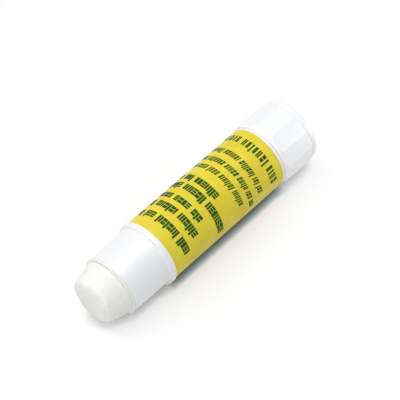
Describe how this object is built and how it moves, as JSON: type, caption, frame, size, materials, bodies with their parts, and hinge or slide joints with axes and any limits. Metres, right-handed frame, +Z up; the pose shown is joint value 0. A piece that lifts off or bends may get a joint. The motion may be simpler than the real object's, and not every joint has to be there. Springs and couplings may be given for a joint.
{
  "type": "glue stick",
  "caption": "Twist-up glue stick with its cap off: a labelled tube with a worn glue tip, and a faceted knob that turns a lead screw to push the glue out or draw it back.",
  "frame": {"origin": "on the table under the middle of the lying glue stick, at the bottom centre of its bounding box", "axes": "+X along the stick towards the turning knob, +Z up, the glue points along -X"},
  "size_m": [0.0728, 0.0182, 0.0182],
  "materials": {
    "barrel_plastic": "satin moulded white plastic",
    "knob_plastic": "satin moulded white plastic, slightly cooler than the barrel",
    "inner_plastic": "satin natural white plastic",
    "label_film": "printed film, semi-gloss",
    "glue": "waxy, worn by use"
  },
  "bodies": {
    "barrel": {"barrel": "barrel_plastic", "label": "label_film"},
    "knob": {"turning_knob": "knob_plastic", "spindle": "inner_plastic"},
    "carriage": {"glue_carrier": "inner_plastic", "glue": "glue"}
  },
  "joints": [
    {"name": "knob_turn", "type": "hinge", "parent": "barrel", "child": "knob", "pos_m": [0, 0, 0.0091], "axis": [1, 0, 0], "range_deg": [-701.9, 3113.9]},
    {"name": "glue_slide", "type": "slide", "parent": "barrel", "child": "carriage", "axis": [-1, 0, 0], "range_m": [-0.0078, 0.0346]}
  ],
  "couplings": [
    {"joint": "glue_slide", "follows": "knob_turn", "m_per_rad": 0.00063662}
  ]
}
